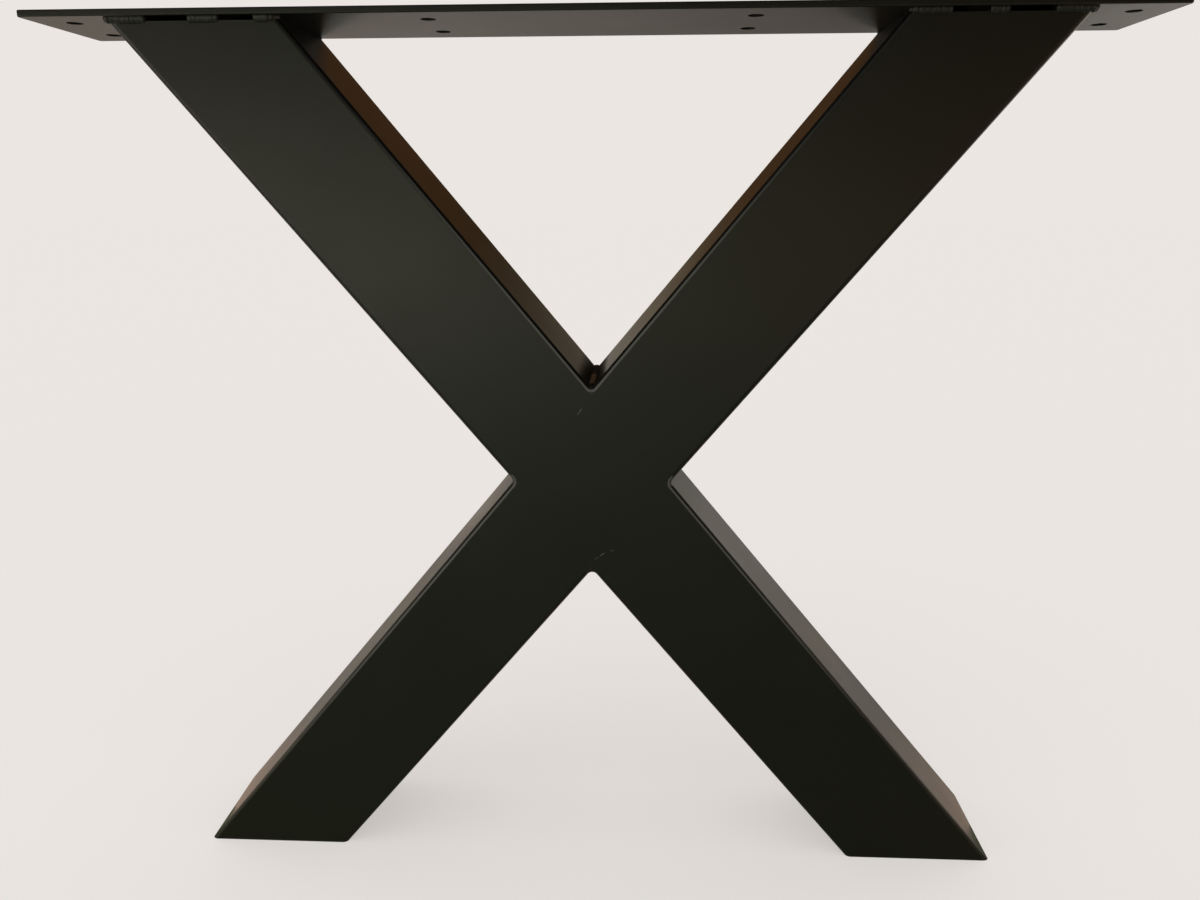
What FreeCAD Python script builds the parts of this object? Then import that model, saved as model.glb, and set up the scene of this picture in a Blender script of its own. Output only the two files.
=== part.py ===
import FreeCAD, Part
import math
import os
import Sketcher

# An X-shaped steel table leg. Two square tubes cross in one plane under a drilled top plate.
# The long tube runs whole from the bottom left foot to the top right of the plate. The other
# diagonal is two half tubes, coped at the crossing to fit round the long tube's rounded edges.
# Frame: X across the leg, Y front to back with the front at -Y, Z up. The origin is on the
# floor, midway between the feet and midway through the tubes' depth. Lengths are millimetres.

DRIVING_DIMENSIONS = [
    # name, value, what it sets
    ("overall_height", 720, "floor to the top of the plate"),
    ("foot_spacing", 593, "between the tubes' centre lines, at the floor and at the plate"),
    ("tube_size", 100, "outside width and depth of the square tube"),
    ("tube_wall", 3, "wall of the tube"),
    ("tube_corner_radius", 4, "outside radius of the tube's four long edges"),
    ("plate_length", 850, "top plate along X"),
    ("plate_overhang", 5, "top plate beyond the tubes, at the front and at the back"),
    ("plate_thickness", 5, "top plate along Z"),
    ("plate_corner_radius", 3, "top plate's corners, seen from above"),
    ("plate_edge_radius", 1, "rounding of the top plate's long and short edges"),
    ("hole_diameter", 12, "bolt holes in the top plate"),
    ("hole_end_margin", 28, "outer holes' centres from the plate's ends"),
    ("hole_side_margin", 28, "all holes' centres from the plate's long edges"),
    ("inner_hole_spacing", 246, "between the two inner pairs of holes, along X"),
    ("foot_plate_thickness", 4, "closing plate in each foot"),
    ("foot_plate_clearance", 0.2, "gap round the closing plate, inside the tube"),
    ("vent_height", 3, "slots at the top of the tubes' front and back walls"),
    ("outer_vent_length", 33, "slot nearer the end of the plate"),
    ("inner_vent_length", 27, "slot nearer the middle of the plate"),
    ("left_land_length", 22.5, "left arm's tube left between its two slots"),
    ("left_land_shift", 10.5, "middle of that land from the tube's centre line, inwards"),
    ("right_land_length", 13, "right arm's tube left between its two slots"),
    ("right_land_shift", 3.5, "middle of that land from the tube's centre line, inwards"),
    ("stitch_leg", 4.5, "fillet welds between the tubes and the plate"),
    ("valley_leg", 4, "fillet welds in the four valleys of the crossing"),
    ("valley_setback", 0.5, "ends of the valley welds behind the front and back faces"),
]

doc = FreeCAD.newDocument("x_table_leg")
dims = doc.addObject("Spreadsheet::Sheet", "Dims")
for row, (name, value, meaning) in enumerate(DRIVING_DIMENSIONS, start=1):
    dims.set(f"A{row}", name)
    dims.set(f"B{row}", str(value))
    dims.set(f"C{row}", meaning)
    dims.setAlias(f"B{row}", name)
doc.recompute()

# An edge is level when its ends are this close in height
LEVEL_TOLERANCE = 1e-6

# How a sketch constraint names a shape's points, and the sketch's own origin
START, END, CENTRE = 1, 2, 3
SKETCH_ORIGIN = (-1, START)

# Sizes that follow from the driving ones, as expressions on the sheet
UNDERSIDE = "(Dims.overall_height - Dims.plate_thickness)"
TILT = f"atan(Dims.foot_spacing / {UNDERSIDE})"
FRONT = "(Dims.tube_size / 2)"
PLATE_DEPTH = "(Dims.tube_size + 2 * Dims.plate_overhang)"
DIAGONAL = f"({UNDERSIDE} / cos({TILT}))"
FLAT_END = f"((Dims.tube_size / 2 - Dims.tube_corner_radius) / cos({TILT}))"


def number(expression):
    """Work out an expression, for a sketch's first shape."""
    result = dims.evalExpression(expression)
    return float(getattr(result, "Value", result))


def bind(obj, bindings):
    """Tie an object's properties to expressions on the sheet."""
    for prop, expression in bindings.items():
        obj.setExpression(prop, expression)
    return obj


def body_with_sketch(label):
    """Start a body, with a sketch on its own XY plane."""
    body = doc.addObject("PartDesign::Body", label)
    body.Label = label
    return body, sketch_in(body, label + "_outline")


def sketch_in(body, name):
    """Add a sketch to a body, on the body's own XY plane."""
    sketch = body.newObject("Sketcher::SketchObject", name)
    plane = next(f for f in body.Origin.OriginFeatures if f.Role == "XY_Plane")
    sketch.AttachmentSupport = [(plane, "")]
    sketch.MapMode = "FlatFace"
    return sketch


def sized(sketch, name, expression, *constraint):
    """Add a constraint whose value follows an expression on the sheet."""
    index = sketch.addConstraint(Sketcher.Constraint(*constraint, number(expression)))
    sketch.renameConstraint(index, name)
    sketch.setExpression("Constraints." + name, expression)


def rounded_rectangle(sketch, name, wide, deep, radius):
    """Draw a rectangle with round corners, centred on the sketch's origin."""
    r = number(radius)
    reach_x = number(wide) / 2 - r
    reach_y = number(deep) / 2 - r
    centres = [(reach_x, -reach_y), (reach_x, reach_y), (-reach_x, reach_y), (-reach_x, -reach_y)]
    quarter_turn = math.pi / 2
    up = FreeCAD.Vector(0, 0, 1)
    arcs = []
    for turn, (x, y) in enumerate(centres):
        circle = Part.Circle(FreeCAD.Vector(x, y, 0), up, r)
        arc = Part.ArcOfCircle(circle, (turn - 1) * quarter_turn, turn * quarter_turn)
        arcs.append((sketch.addGeometry(arc), arc))
    lines = []
    for turn in range(4):
        leaving = arcs[turn][1].EndPoint
        arriving = arcs[(turn + 1) % 4][1].StartPoint
        lines.append(sketch.addGeometry(Part.LineSegment(leaving, arriving)))
    for turn, line in enumerate(lines):
        here = arcs[turn][0]
        following = arcs[(turn + 1) % 4][0]
        sketch.addConstraint(Sketcher.Constraint("Tangent", here, END, line, START))
        sketch.addConstraint(Sketcher.Constraint("Tangent", line, END, following, START))
        level = "Vertical" if turn % 2 == 0 else "Horizontal"
        sketch.addConstraint(Sketcher.Constraint(level, line))
    ids = [arc_id for arc_id, _ in arcs]
    for other in ids[1:]:
        sketch.addConstraint(Sketcher.Constraint("Equal", ids[0], other))
    opposite = (ids[0], CENTRE, ids[2], CENTRE)
    sketch.addConstraint(Sketcher.Constraint("Symmetric", *opposite, *SKETCH_ORIGIN))
    sized(sketch, name + "_radius", radius, "Radius", ids[0])
    sized(sketch, name + "_wide", f"{wide} - 2 * {radius}", "DistanceX", ids[3], CENTRE, ids[0], CENTRE)
    sized(sketch, name + "_deep", f"{deep} - 2 * {radius}", "DistanceY", ids[0], CENTRE, ids[1], CENTRE)


def pad(body, sketch, length, side="Symmetric", reverse=False):
    """Extrude a sketch in its body."""
    feature = body.newObject("PartDesign::Pad", body.Name + "_pad")
    feature.Profile = sketch
    feature.SideType = side
    feature.Reversed = reverse
    feature.setExpression("Length", length)
    sketch.Visibility = False
    return feature


def lean(obj, direction):
    """Lay an upright bar along a diagonal: its top goes right for 1 and left for -1."""
    axis = FreeCAD.Vector(0, direction, 0)
    obj.Placement = FreeCAD.Placement(FreeCAD.Vector(), FreeCAD.Rotation(axis, number(TILT)))
    return bind(obj, {"Placement.Rotation.Angle": TILT, "Placement.Base.z": f"{UNDERSIDE} / 2"})


def combine(kind, label, base, tool):
    """Join two shapes with a boolean: Cut, Common or Fuse."""
    result = doc.addObject("Part::" + kind, label)
    result.Label = label
    result.Base = base
    result.Tool = tool
    return result


def group(label, members):
    """Keep several separate solids as one sub-part."""
    result = doc.addObject("Part::Compound", label)
    result.Label = label
    result.Links = members
    return result


def box(label, size, corner):
    """A box from expressions for its size and its lowest corner, along X, Y and Z."""
    result = doc.addObject("Part::Box", label)
    result.Label = label
    names = ("Length", "Width", "Height", "Placement.Base.x", "Placement.Base.y", "Placement.Base.z")
    return bind(result, dict(zip(names, size + corner)))


def diagonal_bar(label, direction, hollow, half=None):
    """A square tube, or its solid envelope, along one diagonal.

    half is None for the whole diagonal, or "upper" or "lower" for the part of it that starts
    at the crossing. The bars are longer than the leg: they are trimmed level afterwards.
    """
    body, sketch = body_with_sketch(label)
    rounded_rectangle(sketch, "outside", "Dims.tube_size", "Dims.tube_size", "Dims.tube_corner_radius")
    if hollow:
        bore = "(Dims.tube_size - 2 * Dims.tube_wall)"
        rounded_rectangle(sketch, "inside", bore, bore, "(Dims.tube_corner_radius - Dims.tube_wall)")
    if half is None:
        pad(body, sketch, f"{DIAGONAL} + 2 * Dims.tube_size")
    else:
        pad(body, sketch, f"{DIAGONAL} / 2 + Dims.tube_size", "One side", half == "lower")
    return lean(body, direction)


def outward_span(side, start, end):
    """Turn a span measured outwards from an arm's centre line into an X and a length."""
    length = f"({end}) - ({start})"
    if side > 0:
        return f"Dims.foot_spacing / 2 + ({start})", length
    return f"-Dims.foot_spacing / 2 - ({end})", length


def middle_land(side):
    """The ends of the land between one arm's slots, outwards from the arm's centre line."""
    arm = "left" if side < 0 else "right"
    middle = f"-Dims.{arm}_land_shift"
    half = f"Dims.{arm}_land_length / 2"
    return f"({middle} - {half})", f"({middle} + {half})"


def vents(label, side):
    """Two slots through the front and back walls at the top of one arm."""
    land_inner_end, land_outer_end = middle_land(side)
    spans = {
        "outer": (land_outer_end, f"{land_outer_end} + Dims.outer_vent_length"),
        "inner": (f"{land_inner_end} - Dims.inner_vent_length", land_inner_end),
    }
    slots = []
    for name, (start, end) in spans.items():
        x, length = outward_span(side, start, end)
        size = (length, "2 * Dims.tube_size", "2 * Dims.vent_height")
        corner = (x, "-Dims.tube_size", f"{UNDERSIDE} - Dims.vent_height")
        slots.append(box(f"{label}_{name}", size, corner))
    return group(label, slots)


def stitch_welds(label, side):
    """Six short fillet welds that hold one arm to the plate, three in front and three behind."""
    land_inner_end, land_outer_end = middle_land(side)
    spans = {
        "outer": (f"{land_outer_end} + Dims.outer_vent_length", FLAT_END),
        "middle": (land_inner_end, land_outer_end),
        "inner": (f"-{FLAT_END}", f"{land_inner_end} - Dims.inner_vent_length"),
    }
    x_axis = FreeCAD.Vector(1, 0, 0)
    down = FreeCAD.Vector(0, 0, -1)
    faces = {
        "front": (f"-{FRONT}", FreeCAD.Rotation(FreeCAD.Vector(0, -1, 0), down, x_axis, "ZXY")),
        "back": (FRONT, FreeCAD.Rotation(down, FreeCAD.Vector(0, 1, 0), x_axis, "ZXY")),
    }
    beads = []
    for face, (y, turned) in faces.items():
        for name, (start, end) in spans.items():
            x, length = outward_span(side, start, end)
            bead = doc.addObject("Part::Wedge", f"{label}_{face}_{name}")
            for prop in ("Xmin", "Ymin", "Zmin", "X2min", "Z2min", "X2max"):
                setattr(bead, prop, 0)
            bead.Placement = FreeCAD.Placement(FreeCAD.Vector(), turned)
            bind(bead, {"Xmax": "Dims.stitch_leg", "Ymax": "Dims.stitch_leg"})
            bind(bead, {"Zmax": length, "Z2max": length})
            bind(bead, {"Placement.Base.x": x, "Placement.Base.y": y, "Placement.Base.z": UNDERSIDE})
            beads.append(bead)
    return group(label, beads)


def valley_weld(label, outward, envelopes):
    """A fillet weld along Y in one valley of the crossing.

    Its face spans the valley, and it is cut to the tubes' envelopes, so it fills the valley
    down to their rounded edges. outward is the way out of the valley, along X or along Z.
    """
    half_angle = TILT if outward[0] == 0 else f"(90 deg - {TILT})"
    apex = f"{FRONT} / sin({half_angle})"
    apex_x = f"{outward[0]} * {apex}"
    apex_z = f"{UNDERSIDE} / 2 + {outward[1]} * {apex}"
    length = "(Dims.tube_size - 2 * Dims.valley_setback)"
    face_out = f"Dims.valley_leg * cos({half_angle})"
    face_half = f"Dims.valley_leg * sin({half_angle})"
    stock = doc.addObject("Part::Wedge", label + "_stock")
    for prop in ("Ymin", "Zmin", "Z2min", "X2min", "X2max"):
        setattr(stock, prop, 0)
    inward = FreeCAD.Vector(-outward[0], 0, -outward[1])
    along = FreeCAD.Vector(0, 1, 0)
    across = inward.cross(along)
    stock.Placement = FreeCAD.Placement(FreeCAD.Vector(), FreeCAD.Rotation(across, inward, along, "ZXY"))
    bind(stock, {"Xmin": f"-{face_half}", "Xmax": face_half, "Zmax": length, "Z2max": length})
    bind(stock, {"Ymax": f"{face_out} + Dims.tube_corner_radius"})
    bind(stock, {"Placement.Base.x": f"{apex_x} + {outward[0]} * {face_out}"})
    bind(stock, {"Placement.Base.y": f"-{length} / 2"})
    bind(stock, {"Placement.Base.z": f"{apex_z} + {outward[1]} * {face_out}"})
    return combine("Cut", label, stock, envelopes)


def foot_plate(label, direction, floor_layer):
    """A plate that closes one foot, inside the tube and flush with its cut end."""
    body, sketch = body_with_sketch(label + "_core")
    size = "(Dims.tube_size - 2 * Dims.tube_wall - 2 * Dims.foot_plate_clearance)"
    radius = "(Dims.tube_corner_radius - Dims.tube_wall - Dims.foot_plate_clearance)"
    rounded_rectangle(sketch, "edge", size, size, radius)
    pad(body, sketch, f"{DIAGONAL} + 2 * Dims.tube_size")
    lean(body, direction)
    return combine("Common", label, body, floor_layer)


def top_plate():
    """The flat plate that carries the table top, with eight bolt holes in two rows."""
    body, sketch = body_with_sketch("top_plate")
    rounded_rectangle(sketch, "edge", "Dims.plate_length", PLATE_DEPTH, "Dims.plate_corner_radius")
    plate = pad(body, sketch, "Dims.plate_thickness", "One side")
    holes = sketch_in(body, "top_plate_holes")
    row_y = f"({PLATE_DEPTH} / 2 - Dims.hole_side_margin)"
    pair_x = {
        "outer": "(Dims.plate_length / 2 - Dims.hole_end_margin)",
        "inner": "(Dims.inner_hole_spacing / 2)",
    }
    first_hole = None
    for name, x in pair_x.items():
        for corner, (side, row) in enumerate([(-1, -1), (1, -1), (1, 1), (-1, 1)]):
            middle = FreeCAD.Vector(side * number(x), row * number(row_y), 0)
            radius = number("Dims.hole_diameter / 2")
            hole = holes.addGeometry(Part.Circle(middle, FreeCAD.Vector(0, 0, 1), radius))
            label = f"{name}_{corner}"
            spot = (hole, CENTRE)
            ends_x = (*SKETCH_ORIGIN, *spot) if side > 0 else (*spot, *SKETCH_ORIGIN)
            ends_y = (*SKETCH_ORIGIN, *spot) if row > 0 else (*spot, *SKETCH_ORIGIN)
            sized(holes, label + "_x", x, "DistanceX", *ends_x)
            sized(holes, label + "_y", row_y, "DistanceY", *ends_y)
            if first_hole is None:
                first_hole = hole
                sized(holes, "hole_size", "Dims.hole_diameter", "Diameter", hole)
            else:
                holes.addConstraint(Sketcher.Constraint("Equal", first_hole, hole))
    drill = body.newObject("PartDesign::Pocket", "top_plate_drill")
    drill.Profile = holes
    drill.Type = "ThroughAll"
    drill.Reversed = True
    doc.recompute()
    assert drill.Shape.Volume < plate.Shape.Volume, "the holes miss the plate"
    outline = [f"Edge{i}" for i, edge in enumerate(drill.Shape.Edges, start=1) if on_outline(edge)]
    softened = body.newObject("PartDesign::Fillet", "top_plate_soft_edges")
    softened.Base = (drill, outline)
    softened.setExpression("Radius", "Dims.plate_edge_radius")
    return bind(body, {"Placement.Base.z": UNDERSIDE})


def on_outline(edge):
    """Whether an edge of the plate runs level round its outline; a hole's rim is closed."""
    return edge.BoundBox.ZLength < LEVEL_TOLERANCE and not edge.isClosed()


# Helper solids. They shape the sub-parts and aren't kept.
reach = "(Dims.foot_spacing + 4 * Dims.tube_size)"
layer_size = (reach, "2 * Dims.tube_size")
layer_corner = (f"-{reach} / 2", "-Dims.tube_size", "0")
standing_space = box("standing_space", (*layer_size, UNDERSIDE), layer_corner)
floor_layer = box("floor_layer", (*layer_size, "Dims.foot_plate_thickness"), layer_corner)
long_envelope = diagonal_bar("long_envelope", 1, hollow=False)
cross_envelope = diagonal_bar("cross_envelope", -1, hollow=False)
both_envelopes = group("both_envelopes", [long_envelope, cross_envelope])

# The long tube: bottom left to top right
long_stock = diagonal_bar("long_stock", 1, hollow=True)
long_vented = combine("Cut", "long_vented", long_stock, vents("right_vents", 1))
long_tube = combine("Common", "long_tube", long_vented, standing_space)

# The upper half tube: top left, coped over the long tube's upper side
upper_stock = diagonal_bar("upper_stock", -1, hollow=True, half="upper")
upper_coped = combine("Cut", "upper_coped", upper_stock, long_envelope)
upper_vented = combine("Cut", "upper_vented", upper_coped, vents("left_vents", -1))
upper_half_tube = combine("Common", "upper_half_tube", upper_vented, standing_space)

# The lower half tube: bottom right, coped over the long tube's lower side
lower_stock = diagonal_bar("lower_stock", -1, hollow=True, half="lower")
lower_coped = combine("Cut", "lower_coped", lower_stock, long_envelope)
lower_half_tube = combine("Common", "lower_half_tube", lower_coped, standing_space)

subparts = [
    top_plate(),
    long_tube,
    upper_half_tube,
    lower_half_tube,
    foot_plate("left_foot_plate", 1, floor_layer),
    foot_plate("right_foot_plate", -1, floor_layer),
    stitch_welds("left_plate_welds", -1),
    stitch_welds("right_plate_welds", 1),
    valley_weld("top_valley_weld", (0, 1), both_envelopes),
    valley_weld("bottom_valley_weld", (0, -1), both_envelopes),
    valley_weld("left_valley_weld", (-1, 0), both_envelopes),
    valley_weld("right_valley_weld", (1, 0), both_envelopes),
]
doc.recompute()

for obj in doc.Objects:
    assert not {"Invalid", "Error"} & set(obj.State), f"{obj.Label} failed: {obj.State}"

os.makedirs("parts", exist_ok=True)
for part in subparts:
    shape = part.Shape
    assert not shape.isNull() and shape.isValid(), f"{part.Label} has no valid shape"
    shape.exportStep(f"parts/{part.Label}.step")
    size = shape.optimalBoundingBox()
    print(
        f"{part.Label}: {len(shape.Solids)} solids, {shape.Volume / 1000:.1f} cm3,"
        f" X {size.XMin:.2f} to {size.XMax:.2f}, Y {size.YMin:.2f} to {size.YMax:.2f},"
        f" Z {size.ZMin:.2f} to {size.ZMax:.2f}"
    )
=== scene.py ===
# %% [markdown]
# A crossed table leg, dressed for its portrait
#
# The leg is two square steel tubes that cross in one plane, welded under a drilled plate and
# coated in black powder. Its steel is already built to size and comes in as a fixed frame. This
# lesson adds what the frame lacks: the weld beads, the powder coat, the studio and the camera.

# %% Load the frame
import math
import random

import bpy
from mathutils import Matrix, Vector


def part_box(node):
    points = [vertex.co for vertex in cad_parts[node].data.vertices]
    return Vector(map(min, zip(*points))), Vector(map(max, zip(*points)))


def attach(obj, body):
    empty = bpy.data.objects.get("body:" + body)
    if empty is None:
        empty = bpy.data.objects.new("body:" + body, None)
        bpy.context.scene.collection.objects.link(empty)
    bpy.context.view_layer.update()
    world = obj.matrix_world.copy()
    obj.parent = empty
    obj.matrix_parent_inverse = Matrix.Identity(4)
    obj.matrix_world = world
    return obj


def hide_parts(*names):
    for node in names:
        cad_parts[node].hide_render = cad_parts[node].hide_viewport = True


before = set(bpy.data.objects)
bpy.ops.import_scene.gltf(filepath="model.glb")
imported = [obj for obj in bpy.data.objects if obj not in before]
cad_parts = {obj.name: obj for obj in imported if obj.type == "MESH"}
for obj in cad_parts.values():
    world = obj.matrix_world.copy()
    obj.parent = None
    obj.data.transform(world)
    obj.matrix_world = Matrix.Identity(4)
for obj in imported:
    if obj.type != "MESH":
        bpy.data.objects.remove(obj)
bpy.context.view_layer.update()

# %% [markdown]
# Everything is in metres. The sizes of the tubes come straight from the frame's pieces, so that a
# bead of weld sits where its steel is. Two more are given here: how far apart the feet stand, and
# how round the tubes' corners are. The tilt is the angle of the tubes from upright.

# %% Sizes from the frame
MM = 0.001
FOOT_SPACING = 593 * MM
CORNER_RADIUS = 4 * MM

_, tube_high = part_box("long_tube")
UNDERSIDE = tube_high.z
HALF_TUBE = tube_high.y
CROSSING = Vector((0, 0, UNDERSIDE / 2))
TILT = math.atan(FOOT_SPACING / UNDERSIDE)
print(f"Tubes {2 * HALF_TUBE:.3f} m square, leaning {math.degrees(TILT):.2f} degrees")

# %% [markdown]
# The camera stands a little right of the middle, about as high as a seated eye, and looks down
# slightly. It was found by matching the leg's long edges to the picture, and it comes first
# because every later choice is judged through it. Yaw, pitch and roll are plain turns about the
# upright axis, the level axis and the line of sight.

# %% Camera
CAMERA_PLACE = Vector((0.0406, -0.7747, 0.5840))
CAMERA_YAW = math.radians(-2.65)
CAMERA_PITCH = math.radians(-15.31)
CAMERA_ROLL = math.radians(-0.16)
FOCAL_LENGTH = 27.54
SENSOR_WIDTH = 36.0

camera_data = bpy.data.cameras.new("camera")
camera_data.lens = FOCAL_LENGTH
camera_data.sensor_width = SENSOR_WIDTH
camera = bpy.data.objects.new("camera", camera_data)
camera.matrix_world = (
    Matrix.Translation(CAMERA_PLACE)
    @ Matrix.Rotation(-CAMERA_YAW, 4, "Z")
    @ Matrix.Rotation(math.pi / 2 + CAMERA_PITCH, 4, "X")
    @ Matrix.Rotation(CAMERA_ROLL, 4, "Z")
)
bpy.context.scene.collection.objects.link(camera)
bpy.context.scene.camera = camera
bpy.context.scene.view_settings.view_transform = "Standard"
print(f"Camera with a {FOCAL_LENGTH} mm lens, {CAMERA_PLACE.z:.2f} m above the floor")

# %% [markdown]
# Materials are written as sums. Value wraps one output of a node, and every operator on it adds
# a Math node, so a mask reads like arithmetic. Graph.node makes any other node: first its
# settings, then what goes into its sockets. Colours are mixed with Mix nodes, because a Math
# node would turn them grey.

# %% Helpers for materials
class Value:
    """A number on its way through a material."""

    def __init__(self, graph, socket):
        self.graph = graph
        self.socket = socket

    def __add__(self, other):
        return self.graph.maths("ADD", self, other)

    def __sub__(self, other):
        return self.graph.maths("SUBTRACT", self, other)

    def __rsub__(self, other):
        return self.graph.maths("SUBTRACT", other, self)

    def __mul__(self, other):
        return self.graph.maths("MULTIPLY", self, other)

    def __pow__(self, other):
        return self.graph.maths("POWER", self, other)

    def __abs__(self):
        return self.graph.maths("ABSOLUTE", self)

    __radd__ = __add__
    __rmul__ = __mul__


class Graph:
    """The nodes of one material or of the world."""

    def __init__(self, owner):
        owner.use_nodes = True
        self.owner = owner
        self.tree = owner.node_tree
        self.tree.nodes.clear()

    def node(self, kind, settings=None, inputs=None):
        """Add a node: its settings first, then a value or a link for each named socket."""
        made = self.tree.nodes.new(kind)
        for name, setting in (settings or {}).items():
            if name == "stops":
                self.set_stops(made.color_ramp, setting)
            else:
                setattr(made, name, setting)
        for name, given in (inputs or {}).items():
            if isinstance(given, Value):
                given = given.socket
            if isinstance(given, bpy.types.NodeSocket):
                self.tree.links.new(given, made.inputs[name])
            else:
                made.inputs[name].default_value = given
        return made

    def set_stops(self, ramp, stops):
        """Give a colour ramp its stops, as pairs of a place and a colour."""
        while len(ramp.elements) < len(stops):
            ramp.elements.new(1.0)
        for element, (place, colour) in zip(ramp.elements, stops):
            element.position = place
            element.color = colour

    def place(self):
        """The point being coated, as a vector."""
        return self.node("ShaderNodeTexCoord").outputs["Object"]

    def axes(self, place):
        """The three numbers of a place."""
        split = self.node("ShaderNodeSeparateXYZ", None, {0: place})
        return [Value(self, split.outputs[axis]) for axis in "XYZ"]

    def maths(self, operation, *values):
        node = self.node("ShaderNodeMath", {"operation": operation}, dict(enumerate(values)))
        return Value(self, node.outputs[0])

    def noise(self, place, scale, detail=2.0, roughness=0.5):
        """Smooth random grey, with features about one over scale metres wide."""
        inputs = {"Vector": place, "Scale": scale, "Detail": detail, "Roughness": roughness}
        return Value(self, self.node("ShaderNodeTexNoise", None, inputs).outputs["Fac"])

    def between(self, value, low, high, to_low=0.0, to_high=1.0):
        """Ease a value from one range to another, flat outside it."""
        settings = {"interpolation_type": "SMOOTHSTEP", "clamp": True}
        inputs = {"Value": value, "From Min": low, "From Max": high, "To Min": to_low, "To Max": to_high}
        return Value(self, self.node("ShaderNodeMapRange", settings, inputs).outputs["Result"])

    def mix(self, factor, first, second):
        """Blend two colours."""
        node = self.node("ShaderNodeMix", {"data_type": "RGBA"}, {0: factor, 6: first, 7: second})
        return node.outputs[2]

    def bump(self, height, distance, strength, below=None):
        """Turn a height into a normal, on top of another normal if one is given."""
        inputs = {"Height": height, "Distance": distance, "Strength": strength}
        if below is not None:
            inputs["Normal"] = below
        return self.node("ShaderNodeBump", None, inputs).outputs["Normal"]

# %% [markdown]
# Powder coat is a plastic skin baked on to the steel. Up close it is never quite smooth: it has a
# fine grain and, over that, the slow waves that painters call orange peel. It could be made with
# a picture of a painted surface, but two noises as bump are sharper and need no picture. The
# coat itself is nearly black: almost all the light on it is reflection, which is why the rounded
# edges of the tubes, where nothing bright is reflected, show as thin black lines. A slow drift
# and a few specks of dust keep the colour from being flat.

# %% Powder coat
COAT_DARK = (0.0016, 0.0016, 0.0012, 1.0)
COAT_LIGHT = (0.0026, 0.0026, 0.0020, 1.0)
COAT_ROUGHNESS = 0.36
DRIFT_SCALE = 9.0
DRIFT_RANGE = (0.3, 0.7)
DRIFT_ROUGHER = 0.10
PEEL_SCALE = 420.0
PEEL_HEIGHT = 0.12 * MM
PEEL_STRENGTH = 0.35
GRAIN_SCALE = 1900.0
GRAIN_HEIGHT = 0.04 * MM
GRAIN_STRENGTH = 0.30
GRAIN_ROUGHER = 0.08
DUST_SCALE = 950.0
DUST_RANGE = (0.70, 0.78)
DUST_SHARE = 0.35
DUST_COLOUR = (0.016, 0.016, 0.014, 1.0)
SCRATCH_COLOUR = (0.090, 0.090, 0.084, 1.0)
SCRATCH_SMOOTHER = 0.12
# the colour of the painted highlight along the upper edges of the faces
EDGE_HIGHLIGHT_COLOUR = (0.060, 0.062, 0.053, 1.0)


def coat_graph(name):
    """Start a material, with its place on the leg as a vector."""
    graph = Graph(bpy.data.materials.new(name))
    return graph, graph.place()


def finish_coat(graph, place, dark, light, rough, peel=1.0, scratched=None, edge_highlight=None):
    """Connect a coat's colour, roughness and grain to its shader, and return the material."""
    drift = graph.noise(place, DRIFT_SCALE, 3.0)
    peel_height = graph.noise(place, PEEL_SCALE, 2.0)
    grain_height = graph.noise(place, GRAIN_SCALE, 1.0)
    dust = graph.between(graph.noise(place, DUST_SCALE, 2.0, 0.7), *DUST_RANGE)
    colour = graph.mix(graph.between(drift, *DRIFT_RANGE), dark, light)
    colour = graph.mix(dust * DUST_SHARE, colour, DUST_COLOUR)
    roughness = rough + (drift - 0.5) * DRIFT_ROUGHER + (grain_height - 0.5) * GRAIN_ROUGHER
    normal = graph.bump(peel_height, PEEL_HEIGHT * peel, PEEL_STRENGTH)
    normal = graph.bump(grain_height, GRAIN_HEIGHT * peel, GRAIN_STRENGTH, normal)
    if scratched is not None:
        colour = graph.mix(scratched, colour, SCRATCH_COLOUR)
        roughness = roughness - scratched * SCRATCH_SMOOTHER
    # the painted highlight along the upper edges is mixed into the colour here
    if edge_highlight is not None:
        colour = graph.mix(edge_highlight, colour, EDGE_HIGHLIGHT_COLOUR)
    inputs = {"Base Color": colour, "Roughness": roughness, "Normal": normal}
    shader = graph.node("ShaderNodeBsdfPrincipled", None, inputs)
    graph.node("ShaderNodeOutputMaterial", None, {"Surface": shader.outputs["BSDF"]})
    return graph.owner


# %% [markdown]
# The plate and the two small plates that close the feet have the coat and nothing else. The feet's
# plates face the floor, where nobody polishes them, so they are a little duller. The steel keeps
# the frame's own mesh: only its material slot is filled.

# %% Coat the plate and the feet
FOOT_ROUGHNESS = 0.50


def plain_material(name, rough):
    """Powder coat on a piece with no marks of its own."""
    graph, place = coat_graph(name)
    return finish_coat(graph, place, COAT_DARK, COAT_LIGHT, rough)


def coat_steel(finish, *node_names):
    """Give pieces of the frame their finish."""
    for node_name in node_names:
        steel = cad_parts[node_name]
        steel.data.materials.clear()
        steel.data.materials.append(finish)
    print(f"{finish.name}: {', '.join(node_names)}")


coat_steel(plain_material("plate_powder_coat", COAT_ROUGHNESS), "top_plate")
coat_steel(plain_material("foot_powder_coat", FOOT_ROUGHNESS), "left_foot_plate", "right_foot_plate")

# %% [markdown]
# The butt welds at the crossing are ground flush and hidden, but a few faint scratches of the
# grinder remain beside the upper and lower crotch. They are too shallow to be worth cutting into
# the mesh, so they are painted. Each is a thin stroke between two points: the distance from its
# line makes it narrow, and the distance from its middle makes it short. One noise makes it waver
# and another breaks it up.

# %% Scratches of the grinder
SCRATCHES = [
    # two ends, each as millimetres to the right of the crossing and above it, and how clear it is
    ((-11.2, 57.1), (-7.9, 62.5), 1.0),
    ((1.7, -68.9), (6.8, -65.1), 0.7),
    ((6.8, -65.1), (11.0, -61.9), 0.9),
    ((15.2, -60.4), (18.4, -60.0), 0.7),
]
SCRATCH_HALF_WIDTH = 0.55 * MM
SCRATCH_CORE = 0.2
SCRATCH_FADES = (1.1, 0.7)
WAVER_SCALE = 160.0
WAVER = 1.2 * MM
BREAK_SCALE = 420.0
BREAK_RANGE = (0.36, 0.58)
FRONT_SKIN = (1.0 * MM, 0.2 * MM)


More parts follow.
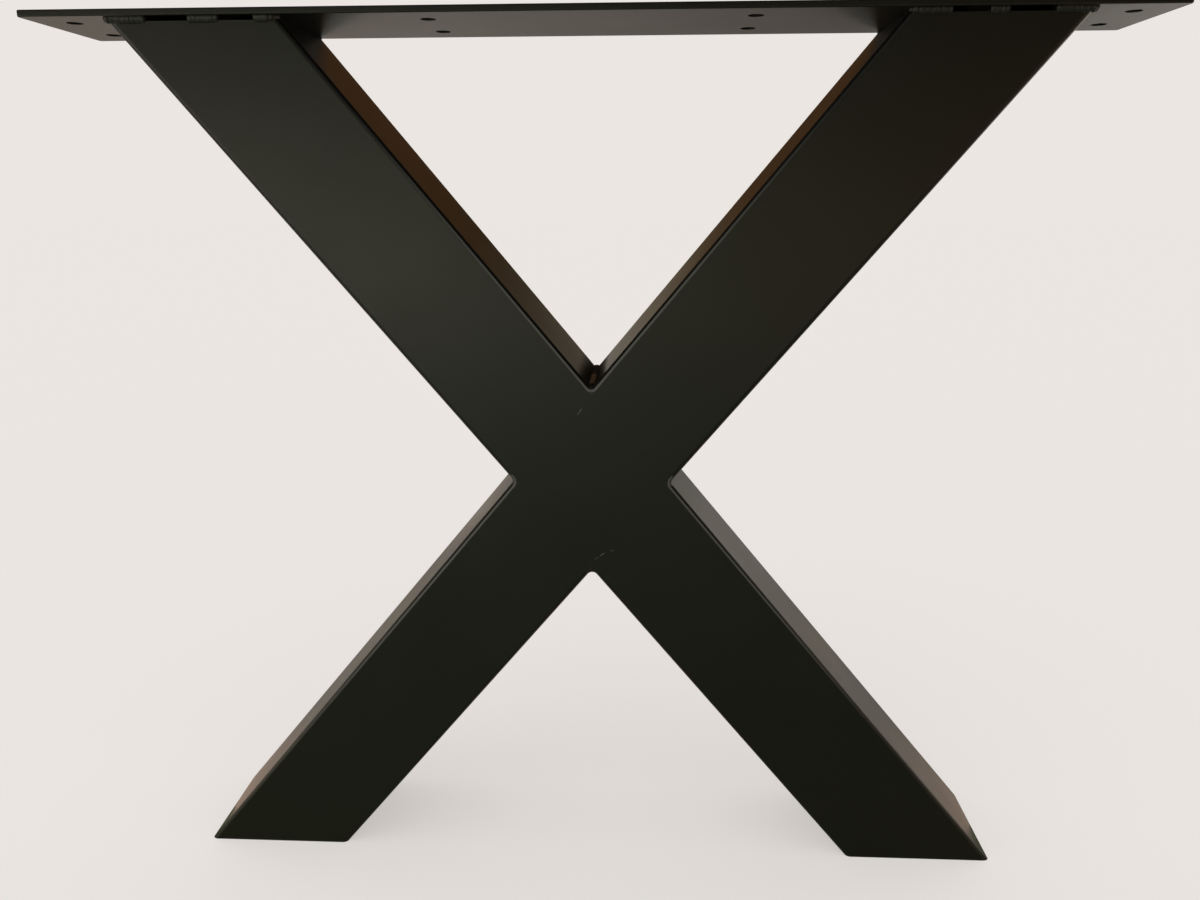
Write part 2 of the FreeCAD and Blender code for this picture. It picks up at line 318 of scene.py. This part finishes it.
def scratch(graph, x, z, start, end):
    """A mask of one scratch on the front face."""
    start = Vector(start) * MM
    end = Vector(end) * MM
    middle = (start + end) / 2
    half_length = (end - start).length / 2
    way = (end - start).normalized()
    from_x = x - middle.x
    from_z = z - (middle.y + CROSSING.z)
    along = abs(from_x * way.x + from_z * way.y)
    beside = abs(from_x * way.y - from_z * way.x)
    begins, full = (share * half_length for share in SCRATCH_FADES)
    wide = graph.between(beside, SCRATCH_HALF_WIDTH, SCRATCH_CORE * SCRATCH_HALF_WIDTH)
    return wide * graph.between(along, begins, full)


def scratches(graph, place, x, y, z):
    """A mask of all the scratches, kept to the front face."""
    waver = (graph.noise(place, WAVER_SCALE, 1.0) - 0.5) * WAVER
    broken = graph.between(graph.noise(place, BREAK_SCALE, 3.0, 0.8), *BREAK_RANGE)
    begins, full = (depth - HALF_TUBE for depth in FRONT_SKIN)
    marks = 0.0
    for start, end, clear in SCRATCHES:
        marks = scratch(graph, x + waver, z, start, end) * clear + marks
    return marks * broken * graph.between(y, begins, full)

# %% [markdown]
# Where the front and back faces begin to round off, a thin paler line is painted into the coat's
# colour on the upper sides of the tubes, most of all near the crossing. It is a painted highlight,
# standing in for the light from above that these edges catch. Such a line is often found from how
# sharp an edge is, but here the depth alone tells where the edges are, and one mask then fits the
# tubes and the welds alike. It is a thin band of depth, cut to two lanes along the upper sides.

# %% Painted highlight on the edges
EDGE_HIGHLIGHT_FROM = (0.04 * MM, 0.10 * MM)
EDGE_HIGHLIGHT_TO = (0.55 * MM, 0.90 * MM)
EDGE_HIGHLIGHT_LANE = (43 * MM, 45 * MM, 54 * MM, 56 * MM)
EDGE_HIGHLIGHT_REACH = (130 * MM, 370 * MM)
EDGE_HIGHLIGHT_LEAST = 0.10
EDGE_HIGHLIGHT_BELOW = 0.75


def distance(across, along):
    """How far a place is from the origin, measured in one plane."""
    return (across * across + along * along) ** 0.5


def painted_edge_highlight(graph, x, y, z):
    """A mask of the painted highlight on the thin line where the front and back faces round off towards
    the upper sides.
    """
    # the painted highlight: a thin paler line along the upper edges, brightest near the crossing
    depth = HALF_TUBE - abs(y)
    line = graph.between(depth, *EDGE_HIGHLIGHT_FROM) * graph.between(depth, *EDGE_HIGHLIGHT_TO, 1.0, 0.0)
    height = z - CROSSING.z
    start, full, fade, end = EDGE_HIGHLIGHT_LANE
    lanes = 0.0
    for way in (-1, 1):
        across = x * (way * math.cos(TILT)) + height * math.sin(TILT)
        lane = graph.between(across, start, full) * graph.between(across, fade, end, 1.0, 0.0)
        lanes = lane + lanes
    away = graph.between(distance(x, height), *EDGE_HIGHLIGHT_REACH, 1.0, EDGE_HIGHLIGHT_LEAST)
    arms = graph.between(height, -HALF_TUBE, HALF_TUBE, EDGE_HIGHLIGHT_BELOW, 1.0)
    return line * lanes * away * arms

# %% [markdown]
# The heat of the welding left the coat dull at the foot of the upper valley, where the light from
# behind would otherwise gleam. Some extra roughness round that one point does it. It stops short
# of the front and back faces, which stay as they are.

# %% Dull patch in the upper valley
DULL_REACH = (5 * MM, 20 * MM)
DULL_EXTRA = 0.45
DULL_EDGE = (2 * MM, 1 * MM)


def dull_valley(graph, x, y, z):
    """How much rougher the coat is in the upper valley."""
    foot = CROSSING.z + HALF_TUBE / math.sin(TILT)
    full, ends = (HALF_TUBE - depth for depth in DULL_EDGE)
    inside = graph.between(abs(y), full, ends, 1.0, 0.0)
    return graph.between(distance(x, z - foot), *DULL_REACH, DULL_EXTRA, 0.0) * inside

# %% [markdown]
# The three tubes share one material, because they were coated as one piece. All its masks read
# the place on the leg, so they run on from tube to tube without a break at the seams.

# %% Coat the tubes
def tube_material():
    """Powder coat with all that shows on the tubes alone."""
    graph, place = coat_graph("tube_powder_coat")
    x, y, z = graph.axes(place)
    rough = COAT_ROUGHNESS + dull_valley(graph, x, y, z)
    marks = scratches(graph, place, x, y, z)
    # a painted highlight along the upper edges of the tubes
    highlight = painted_edge_highlight(graph, x, y, z)
    return finish_coat(graph, place, COAT_DARK, COAT_LIGHT, rough, scratched=marks, edge_highlight=highlight)


coat_steel(tube_material(), "long_tube", "upper_half_tube", "lower_half_tube")

# %% [markdown]
# Powder lies thicker on a weld than on a flat face. That fills the grain and leaves the bead a
# shade paler and duller than the tubes, so the welds get a material of their own. It keeps the
# painted highlight on the edges, for the places where the welds are ground flush with the faces,
# and the dull patch, but only from the middle of the valley backwards.

# %% Coat for the welds
BEAD_DARK = (0.0040, 0.0040, 0.0032, 1.0)
BEAD_LIGHT = (0.0062, 0.0062, 0.0050, 1.0)
BEAD_ROUGHNESS = 0.42
BEAD_PEEL = 0.6
BEAD_DULL_FROM = (0 * MM, 6 * MM)


def bead_material():
    """Thicker powder coat for the welds."""
    graph, place = coat_graph("weld_powder_coat")
    x, y, z = graph.axes(place)
    rough = BEAD_ROUGHNESS + dull_valley(graph, x, y, z) * graph.between(y, *BEAD_DULL_FROM)
    # a painted highlight along the upper edges of the welds
    highlight = painted_edge_highlight(graph, x, y, z)
    return finish_coat(graph, place, BEAD_DARK, BEAD_LIGHT, rough, peel=BEAD_PEEL, edge_highlight=highlight)


bead_coat = bead_material()
print("Ready for the welds:", bead_coat.name)

# %% [markdown]
# A weld bead is a row of molten drops, each frozen over the one before. It could be a lofted
# strip with ripples pushed into it. Here it is made the way the welder makes it: one drop is
# modelled, copied along the seam with small differences, and the row is melted into one skin by
# a voxel remesh. That gives the crescent ripples for free. The drops are larger than the gap
# between them, so they always join.

# %% Melt drops into a bead
DROP_SEGMENTS = 20
DROP_RINGS = 12
UNEVEN = 0.05
VOXEL = 0.45 * MM
SMOOTHING = 0.5
SMOOTH_PASSES = 3
SEED = 20

chance = random.Random(SEED)


def select_only(*objects):
    """Make these objects the whole selection, with the first one active."""
    bpy.ops.object.select_all(action="DESELECT")
    for item in objects:
        item.select_set(True)
    bpy.context.view_layer.objects.active = objects[0]


def apply_modifiers(item):
    """Make an object's modifiers part of its mesh."""
    select_only(item)
    for modifier in list(item.modifiers):
        bpy.ops.object.modifier_apply(modifier=modifier.name)


def first_drop():
    """One drop of weld metal, which every bead is made of."""
    bpy.ops.object.select_all(action="DESELECT")
    bpy.ops.mesh.primitive_uv_sphere_add(segments=DROP_SEGMENTS, ring_count=DROP_RINGS, radius=1.0)
    drop = bpy.context.object
    drop.name = "drop"
    return drop


def melted(name, places):
    """Melt a row of drops into one bead. Each place is a centre, three radii and a turn about Z."""
    drops = []
    for centre, radii, turn in places:
        copy = master_drop.copy()
        copy.data = master_drop.data.copy()
        uneven = [radius * chance.uniform(1 - UNEVEN, 1 + UNEVEN) for radius in radii]
        copy.matrix_world = (
            Matrix.Translation(centre) @ Matrix.Rotation(turn, 4, "Z") @ Matrix.Diagonal((*uneven, 1))
        )
        bpy.context.scene.collection.objects.link(copy)
        drops.append(copy)
    select_only(*drops)
    bpy.ops.object.join()
    bead = bpy.context.object
    bead.name = name
    bpy.ops.object.transform_apply(location=True, rotation=True, scale=True)
    skin = bead.modifiers.new("melt", "REMESH")
    skin.mode = "VOXEL"
    skin.voxel_size = VOXEL
    smooth = bead.modifiers.new("smooth", "SMOOTH")
    smooth.factor = SMOOTHING
    smooth.iterations = SMOOTH_PASSES
    apply_modifiers(bead)
    bpy.ops.object.shade_smooth()
    return bead


master_drop = first_drop()
print("The drop has", len(master_drop.data.polygons), "faces")

# %% [markdown]
# Each piece of weld in the frame is a plain wedge. The beads take its place in what is seen,
# and the wedge stays in the frame, hidden. That needs three lines: what the beads move with,
# which wedge they stand for, and whose finish they have.

# %% Let beads stand for a weld
def finish_beads(name, beads, node):
    """Join beads into one piece, coat it, and let it stand for its node."""
    select_only(*beads)
    if len(beads) > 1:
        bpy.ops.object.join()
    piece = bpy.context.object
    piece.name = name
    piece.data.materials.clear()
    piece.data.materials.append(bead_coat)
    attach(piece, "root")
    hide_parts(node)
    triangles = sum(len(face.vertices) - 2 for face in piece.data.polygons)
    print(f"{name}: {triangles} triangles")

# %% [markdown]
# Each arm hangs from the plate by six short fillet welds, three in front and three behind, with
# narrow vents between them. The frame has plain wedges there, and their ends tell where each bead
# starts and stops. The outer and inner beads run on round the tube's corners, as the real ones
# do, so their last drops follow the corner's outline, which is an ellipse because the tube leans.

# %% Stitch welds under the plate
STITCH_PITCH = 1.5 * MM
STITCH_RADII = (1.9 * MM, 3.4 * MM, 4.6 * MM)
STITCH_INSET = 1.1 * MM
STITCH_DROP = 0.6 * MM
STITCH_SWAY = 0.2  # millimetres, in and out
STITCH_RISE = 0.3  # millimetres, up and down
CORNER_TURNS = [20, 40, 60, 80]
CORNER_SHRINK = 0.45


def bead_spans(node):
    """Where each bead of a node starts and stops along X."""
    ends = sorted({round(vertex.co.x, 5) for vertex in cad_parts[node].data.vertices})
    return list(zip(ends[::2], ends[1::2]))


def stitch_row(start, end, face):
    """Drops along the corner of the tube's front or back face and the plate."""
    count = round((end - start) / STITCH_PITCH)
    places = []
    for step in range(count + 1):
        x = start + (end - start) * step / count
        y = face * (HALF_TUBE - STITCH_INSET + chance.uniform(-STITCH_SWAY, STITCH_SWAY) * MM)
        z = UNDERSIDE - STITCH_DROP + chance.uniform(-STITCH_RISE, STITCH_RISE) * MM
        places.append(((x, y, z), STITCH_RADII, 0.0))
    return places


def corner_row(flat_end, side, face):
    """Drops round a corner of the tube. side is -1 or 1, the way round it along X."""
    reach_x = CORNER_RADIUS / math.cos(TILT)
    centre_y = HALF_TUBE - CORNER_RADIUS - STITCH_INSET / 2
    z = UNDERSIDE - STITCH_DROP
    places = []
    for degrees in CORNER_TURNS:
        turn = math.radians(degrees)
        x = flat_end + side * reach_x * math.sin(turn)
        y = face * (centre_y + CORNER_RADIUS * math.cos(turn))
        shrink = 1 - CORNER_SHRINK * degrees / 90
        radii = [radius * shrink for radius in STITCH_RADII]
        places.append(((x, y, z), radii, -side * face * turn))
    return places


def stitch_beads(name, node):
    """All six beads of one arm."""
    beads = []
    spans = bead_spans(node)
    first_end = spans[0][0]
    last_end = spans[-1][1]
    inset = STITCH_RADII[0] / 2
    for face in (-1, 1):
        for start, end in spans:
            places = stitch_row(start + inset, end - inset, face)
            if start == first_end:
                places += corner_row(first_end, -1, face)
            if end == last_end:
                places += corner_row(last_end, 1, face)
            beads.append(melted("bead", places))
    finish_beads(name, beads, node)


stitch_beads("left_stitch_beads", "left_plate_welds")
stitch_beads("right_stitch_beads", "right_plate_welds")

# %% [markdown]
# Four more welds fill the valleys of the crossing, from the front face to the back. Near the faces
# the welder ground them hollow and flush. The ground web starts as a block in the valley. A spool
# is cut out of it with a boolean: a cylinder that just touches both tubes and widens at its ends
# exactly as the tubes' edges round off, so one even edge runs round each crotch.

# %% Hollow-ground webs
WEB_SINK = 0.03 * MM
WEB_ROOT = 1.0 * MM
WEB_SHADING = math.radians(30)
SPOOL_END = 2 * MM
SPOOL_SIDES = 72
FLARE_TURNS = [90, 75, 60, 45, 30, 15, 0]


def spool(radius, height):
    """The cutter of a web: it lies along Y, with its axis at this height over the valley."""
    rings = [(-HALF_TUBE - SPOOL_END, radius + CORNER_RADIUS)]
    for degrees in FLARE_TURNS:
        turn = math.radians(degrees)
        depth = CORNER_RADIUS * (1 - math.sin(turn))
        rings.append((-HALF_TUBE + depth, radius + CORNER_RADIUS * (1 - math.cos(turn))))
    rings += [(-y, size) for y, size in reversed(rings)]
    y, size = rings[0]
    bpy.ops.object.select_all(action="DESELECT")
    bpy.ops.mesh.primitive_circle_add(
        vertices=SPOOL_SIDES,
        radius=size,
        fill_type="NGON",
        location=(0, y, height),
        rotation=(math.pi / 2, 0, 0),
    )
    cutter = bpy.context.object
    bpy.ops.object.transform_apply(location=True, rotation=True, scale=True)
    bpy.ops.object.mode_set(mode="EDIT")
    for next_y, next_size in rings[1:]:
        bpy.ops.mesh.extrude_region_move(TRANSFORM_OT_translate={"value": (0, next_y - y, 0)})
        share = next_size / size
        bpy.ops.transform.resize(value=(share, 1, share), center_override=(0, next_y, height))
        y, size = next_y, next_size
    bpy.ops.mesh.select_all(action="SELECT")
    bpy.ops.mesh.normals_make_consistent(inside=False)
    bpy.ops.object.mode_set(mode="OBJECT")
    return cutter


def ground_web(leg, half_angle):
    """A hollow-ground web in a valley that opens upwards, with its lowest point at the origin."""
    top = leg * math.cos(half_angle)
    half_width = leg * math.sin(half_angle) + CORNER_RADIUS * math.cos(half_angle)
    bottom = -CORNER_RADIUS / math.sin(half_angle) - WEB_ROOT
    cutter = spool(leg * math.tan(half_angle), leg / math.cos(half_angle))
    bpy.ops.object.select_all(action="DESELECT")
    bpy.ops.mesh.primitive_cube_add(
        size=1,
        location=(0, 0, (top + bottom) / 2),
        scale=(2 * half_width, 2 * (HALF_TUBE - WEB_SINK), top - bottom),
    )
    web = bpy.context.object
    bpy.ops.object.transform_apply(location=True, rotation=True, scale=True)
    cut = web.modifiers.new("cut", "BOOLEAN")
    cut.operation = "DIFFERENCE"
    cut.solver = "EXACT"
    cut.object = cutter
    apply_modifiers(web)
    bpy.data.objects.remove(cutter)
    bpy.ops.object.shade_smooth_by_angle(angle=WEB_SHADING)
    return web

# %% [markdown]
# Between the ground ends a flat bead still lies on each web, melted from drops as before. Web and
# bead are made together in a valley that opens upwards, where the sums are easy, and the pair is
# then turned and moved into its own valley. The beads start and stop unevenly, as by hand.

# %% Valley welds at the crossing
VALLEY_PITCH = 2.3 * MM
VALLEY_LENGTH = 1.25 * VALLEY_PITCH
VALLEY_TALL = 1.5 * MM
VALLEY_LAP = 0.4 * MM
VALLEY_SWAY = 0.15  # millimetres, up and down
BESIDE = math.pi / 2 - TILT
VALLEYS = [
    # side, way out, half its angle, leg of the web, crest, start and end of the bead, in millimetres
    ("top", Vector((0, 0, 1)), TILT, 3.0, 3.4, -38, 45),
    ("bottom", Vector((0, 0, -1)), TILT, 6.0, 3.3, -36, 40),
    ("left", Vector((-1, 0, 0)), BESIDE, 3.6, 2.0, -34, 41),
    ("right", Vector((1, 0, 0)), BESIDE, 3.6, 2.0, -37, 38),
]


def valley_row(crest, half_angle, start, end):
    """Drops along a valley that opens upwards, up to a crest over its lowest point."""
    wide = (crest + VALLEY_LAP) * math.tan(half_angle)
    count = round((end - start) / VALLEY_PITCH)
    places = []
    for step in range(count + 1):
        y = start + (end - start) * step / count
        z = crest - VALLEY_TALL + chance.uniform(-VALLEY_SWAY, VALLEY_SWAY) * MM
        places.append(((0, y, z), (wide, VALLEY_LENGTH, VALLEY_TALL), 0.0))
    return places


def valley_weld(name, node, outward, half_angle, leg, crest, start, end):
    """The web and bead of one valley. outward points out of it, along X or Z."""
    web = ground_web(leg * MM, half_angle)
    bead = melted("bead", valley_row(crest * MM, half_angle, start * MM, end * MM))
    select_only(web, bead)
    bpy.ops.object.join()
    weld = bpy.context.object
    lowest_point = CROSSING + outward * (HALF_TUBE / math.sin(half_angle))
    turn = math.atan2(outward.x, outward.z)
    weld.matrix_world = Matrix.Translation(lowest_point) @ Matrix.Rotation(turn, 4, "Y")
    bpy.ops.object.transform_apply(location=True, rotation=True, scale=True)
    finish_beads(name, [weld], node)


for side_name, *shape in VALLEYS:
    valley_weld(f"{side_name}_valley_bead", f"{side_name}_valley_weld", *shape)

bpy.data.objects.remove(master_drop)

# %% [markdown]
# The studio is a pale floor that runs to the horizon. It is a real surface, so the leg casts a
# soft shadow on it. It could be painted alone, but then the shadow is darker than a studio's many
# lamps leave it. So it also glows a little, as a light table does, which keeps the shadow faint.

# %% Floor
FLOOR_SIZE = 60.0
FLOOR_DROP = 0.02 * MM
FLOOR_GLOW = 0.6


def linear(red, green, blue):
    """A colour given as on a screen, 0 to 255, as the light that Blender counts in."""
    def one(level):
        # these numbers are the standard curve of a screen
        share = level / 255
        return share / 12.92 if share <= 0.04045 else ((share + 0.055) / 1.055) ** 2.4
    return (one(red), one(green), one(blue), 1.0)


PALE = linear(235, 230, 226)

bpy.ops.object.select_all(action="DESELECT")
bpy.ops.mesh.primitive_plane_add(size=FLOOR_SIZE, location=(0, 0, -FLOOR_DROP))
floor = bpy.context.object
floor.name = "studio_floor"
graph = Graph(bpy.data.materials.new("studio_floor_paint"))
paint = graph.node("ShaderNodeBsdfDiffuse", None, {"Color": PALE})
glow = graph.node("ShaderNodeEmission", None, {"Color": PALE})
inputs = {0: FLOOR_GLOW, 1: paint.outputs[0], 2: glow.outputs[0]}
mixed = graph.node("ShaderNodeMixShader", None, inputs)
graph.node("ShaderNodeOutputMaterial", None, {"Surface": mixed.outputs[0]})
floor.data.materials.append(graph.owner)
print(f"Floor: {FLOOR_SIZE:.0f} m square")

# %% [markdown]
# The sky has two faces. It shows the floor's pale colour to the camera and to reflections, but
# lights the leg as a plain neutral one, so that colours come out as written. The Light Path node
# tells the two kinds of ray apart.

# %% Sky
SKY_LIGHT = 0.80

world = bpy.data.worlds.new("studio_sky")
bpy.context.scene.world = world
graph = Graph(world)
rays = graph.node("ShaderNodeLightPath")
seen = graph.maths("MAXIMUM", rays.outputs["Is Camera Ray"], rays.outputs["Is Glossy Ray"])
seen = graph.maths("MAXIMUM", seen, rays.outputs["Is Transmission Ray"])
lighting = graph.node("ShaderNodeBackground", None, {"Color": (1, 1, 1, 1), "Strength": SKY_LIGHT})
backdrop = graph.node("ShaderNodeBackground", None, {"Color": PALE, "Strength": 1.0})
mixed = graph.node("ShaderNodeMixShader", None, {0: seen, 1: lighting.outputs[0], 2: backdrop.outputs[0]})
graph.node("ShaderNodeOutputWorld", None, {"Surface": mixed.outputs[0]})
print("Sky: a light of", SKY_LIGHT)

# %% [markdown]
# One broad sun gives the whole floor the same light, so the floor meets the sky without a line.
# It stands high at the left, and its wide disc keeps the shadow soft. The satin coat would show the
# disc as a glare on every rounded edge, so the sun is hidden from reflections.

# %% Sun
SUN_FROM = Vector((-0.40, -0.20, 0.90))
SUN_STRENGTH = 0.68
SUN_ANGLE = math.radians(75)

sun_data = bpy.data.lights.new("sun", "SUN")
sun_data.energy = SUN_STRENGTH
sun_data.angle = SUN_ANGLE
sun = bpy.data.objects.new("sun", sun_data)
sun.visible_glossy = False
sun.rotation_euler = SUN_FROM.to_track_quat("Z", "Y").to_euler()
bpy.context.scene.collection.objects.link(sun)
print("Sun: a strength of", SUN_STRENGTH)

# %% [markdown]
# Satin black shows its surroundings more than itself, so a product photographer surrounds it with
# panels that stand outside the picture. Here they are a round wall, carpets and a ceiling. Each
# glows in colours that change along it, and only reflections see it: it lights and shades
# nothing else. Lamps could stand there too, but a lamp has one colour all over.

# %% Helpers for panels
def ramp(graph, value, stops):
    """Light along a value. Each stop is the value and its colour, or one number for grey."""
    low = stops[0][0]
    span = stops[-1][0] - low
    colours = []
    for place, light in stops:
        shade = light if isinstance(light, tuple) else (light, light, light)
        colours.append(((place - low) / span, (*shade, 1)))
    share = (value - low) * (1 / span)
    return graph.node("ShaderNodeValToRGB", {"stops": colours}, {"Fac": share}).outputs["Color"]


def together(graph, operation, first, second):
    """Add or multiply two colours."""
    return graph.node("ShaderNodeVectorMath", {"operation": operation}, {0: first, 1: second}).outputs[0]


def glow_graph(name):
    """Start a material that only glows, with the place on its panel as three numbers."""
    graph = Graph(bpy.data.materials.new(name))
    return graph, graph.axes(graph.place())


def only_reflected(panel, name, graph, colour):
    """Let a panel glow in this colour, seen by reflections alone."""
    glow = graph.node("ShaderNodeEmission", None, {"Color": colour})
    graph.node("ShaderNodeOutputMaterial", None, {"Surface": glow.outputs[0]})
    panel.name = name
    panel.data.materials.append(graph.owner)
    panel.visible_camera = False
    panel.visible_diffuse = False
    panel.visible_transmission = False
    panel.visible_shadow = False
    print("Panel for reflections:", name)

# %% [markdown]
# The wall behind is pale low down, as a skirting, and brown above. The inner faces of the upper
# arms take their colour from the brown, and the plate's underside from the skirting. The brown
# turns grey towards the sides, or the plate would look like copper from there.

# %% Wall behind
WALL_RADIUS = 4.0
WALL_HEIGHT = 4.6
WALL_SIDES = 96
SKIRTING = [
    # height and light
    (0.0, (0.40, 0.60, 0.70)),
    (0.3, (0.65, 0.55, 0.45)),
    (0.7, (0.35, 0.30, 0.20)),
    (1.1, 0.0),
    (4.6, 0.0),
]
SKIRTING_SIDES = [(-4.0, 0.6), (-3.0, 0.6), (-1.0, 1.3), (1.0, 0.6), (3.0, 3.0), (4.0, 3.0)]
PANELLING = [
    # height and light
    (0.0, 0.0),
    (0.7, 0.0),
    (1.1, (0.12, 0.055, 0.015)),
    (1.8, (0.19, 0.09, 0.036)),
    (4.6, (0.02, 0.015, 0.01)),
]
GREYED = (0.5, 1.0, 2.0)
PANELLING_SIDES = [
    # place from left to right and light
    (-4.0, GREYED),
    (-3.0, GREYED),
    (-1.0, 1.25),
    (1.0, 0.6),
    (3.0, GREYED),
    (4.0, GREYED),
]


def half_wall(side):
    """Half a round wall, behind the leg for 1 and in front of it for -1."""
    bpy.ops.object.select_all(action="DESELECT")
    bpy.ops.mesh.primitive_cylinder_add(
        vertices=WALL_SIDES,
        radius=WALL_RADIUS,
        depth=WALL_HEIGHT,
        location=(0, 0, WALL_HEIGHT / 2),
        end_fill_type="NOTHING",
    )
    wall = bpy.context.object
    bpy.ops.object.transform_apply(location=True, rotation=True, scale=True)
    bpy.ops.object.mode_set(mode="EDIT")
    bpy.ops.mesh.select_mode(type="FACE")
    bpy.ops.mesh.select_all(action="DESELECT")
    bpy.ops.object.mode_set(mode="OBJECT")
    for face in wall.data.polygons:
        face.select = side * face.center.y < 0
    bpy.ops.object.mode_set(mode="EDIT")
    bpy.ops.mesh.delete(type="FACE")
    bpy.ops.object.mode_set(mode="OBJECT")
    return wall


graph, (x, _, z) = glow_graph("studio_back_paint")
low = together(graph, "MULTIPLY", ramp(graph, z, SKIRTING), ramp(graph, x, SKIRTING_SIDES))
high = together(graph, "MULTIPLY", ramp(graph, z, PANELLING), ramp(graph, x, PANELLING_SIDES))
only_reflected(half_wall(1), "studio_back_wall", graph, together(graph, "ADD", low, high))

# %% [markdown]
# A carpet behind the leg sets the tones of the lower arms' outer faces, its nearest stripes those
# by the feet. It is a flat plane just above the floor, so that reflections meet it first.

# %% Carpet behind
CARPET_LIFT = 0.5 * MM
BACK_CARPET = [
    # distance behind the leg and light
    (0.0, (0.90, 0.65, 0.50)),
    (0.35, (0.43, 0.40, 0.35)),
    (0.7, (0.60, 0.50, 0.38)),
    (1.05, (0.12, 0.13, 0.13)),
    (1.6, (1.30, 1.05, 0.85)),
    (2.4, (0.05, 0.035, 0.02)),
    (4.0, (0.08, 0.07, 0.05)),
]


def carpet(side):
    """A carpet from under the leg to the wall, behind it for 1 and in front of it for -1."""
    bpy.ops.object.select_all(action="DESELECT")
    bpy.ops.mesh.primitive_plane_add(size=1, location=(0, side * WALL_RADIUS / 2, CARPET_LIFT))
    piece = bpy.context.object
    piece.scale = (2 * WALL_RADIUS, WALL_RADIUS, 1)
    bpy.ops.object.transform_apply(location=True, rotation=True, scale=True)
    return piece


graph, (x, y, _) = glow_graph("studio_back_carpet_paint")
colour = together(graph, "MULTIPLY", ramp(graph, y, BACK_CARPET), ramp(graph, x, SKIRTING_SIDES))
only_reflected(carpet(1), "studio_back_carpet", graph, colour)

# %% [markdown]
# The front faces look back past the camera. A round screen there, light at the left and dark at
# the right, gives them their slow gradient, and its light ends low down, so that they darken
# towards the plate. The carpet in front sets the tones of the lower arms.

# %% Screen and carpet in front
SCREEN_SIDES = [
    # place from left to right and light
    (-4.0, (2.6, 2.4, 1.9)),
    (-2.0, (3.4, 3.2, 2.4)),
    (-0.8, (2.4, 2.5, 1.8)),
    (0.2, (1.3, 1.2, 0.7)),
    (1.4, (1.0, 0.7, 0.35)),
    (4.0, (0.9, 0.6, 0.3)),
]
SCREEN_HEIGHTS = [(0.0, 1.1), (0.5, 0.58), (1.0, 0.08), (1.6, 0.04), (2.4, 0.03), (4.6, 0.03)]
FRONT_CARPET = [
    # place before the leg, from the screen to the leg, and light
    (-4.0, (0.19, 0.24, 0.22)),
    (-1.5, (0.20, 0.24, 0.21)),
    (-0.7, (0.20, 0.22, 0.15)),
    (0.0, (0.15, 0.16, 0.08)),
]
CARPET_SIDES = [(-4.0, 1.2), (-1.0, 1.2), (0.0, 1.0), (1.0, 0.6), (4.0, 0.6)]

graph, (x, _, z) = glow_graph("studio_screen_paint")
colour = together(graph, "MULTIPLY", ramp(graph, x, SCREEN_SIDES), ramp(graph, z, SCREEN_HEIGHTS))
only_reflected(half_wall(-1), "studio_screen", graph, colour)

graph, (x, y, _) = glow_graph("studio_front_carpet_paint")
colour = together(graph, "MULTIPLY", ramp(graph, y, FRONT_CARPET), ramp(graph, x, CARPET_SIDES))
only_reflected(carpet(-1), "studio_front_carpet", graph, colour)

# %% [markdown]
# A dark ceiling closes the room over the wall. The round light in its middle is for views from
# the sides and from above, where the plate's top would otherwise be a black shape.

# %% Ceiling
CEILING_LIGHT = [(0.0, 0.5), (1.0, 0.4), (1.7, 0.008), (4.0, 0.008)]

bpy.ops.object.select_all(action="DESELECT")
bpy.ops.mesh.primitive_circle_add(
    vertices=WALL_SIDES,
    radius=WALL_RADIUS,
    fill_type="NGON",
    location=(0, 0, WALL_HEIGHT),
)
ceiling = bpy.context.object
bpy.ops.object.transform_apply(location=True, rotation=True, scale=True)
graph, (x, y, _) = glow_graph("studio_ceiling_paint")
only_reflected(ceiling, "studio_ceiling", graph, ramp(graph, distance(x, y), CEILING_LIGHT))
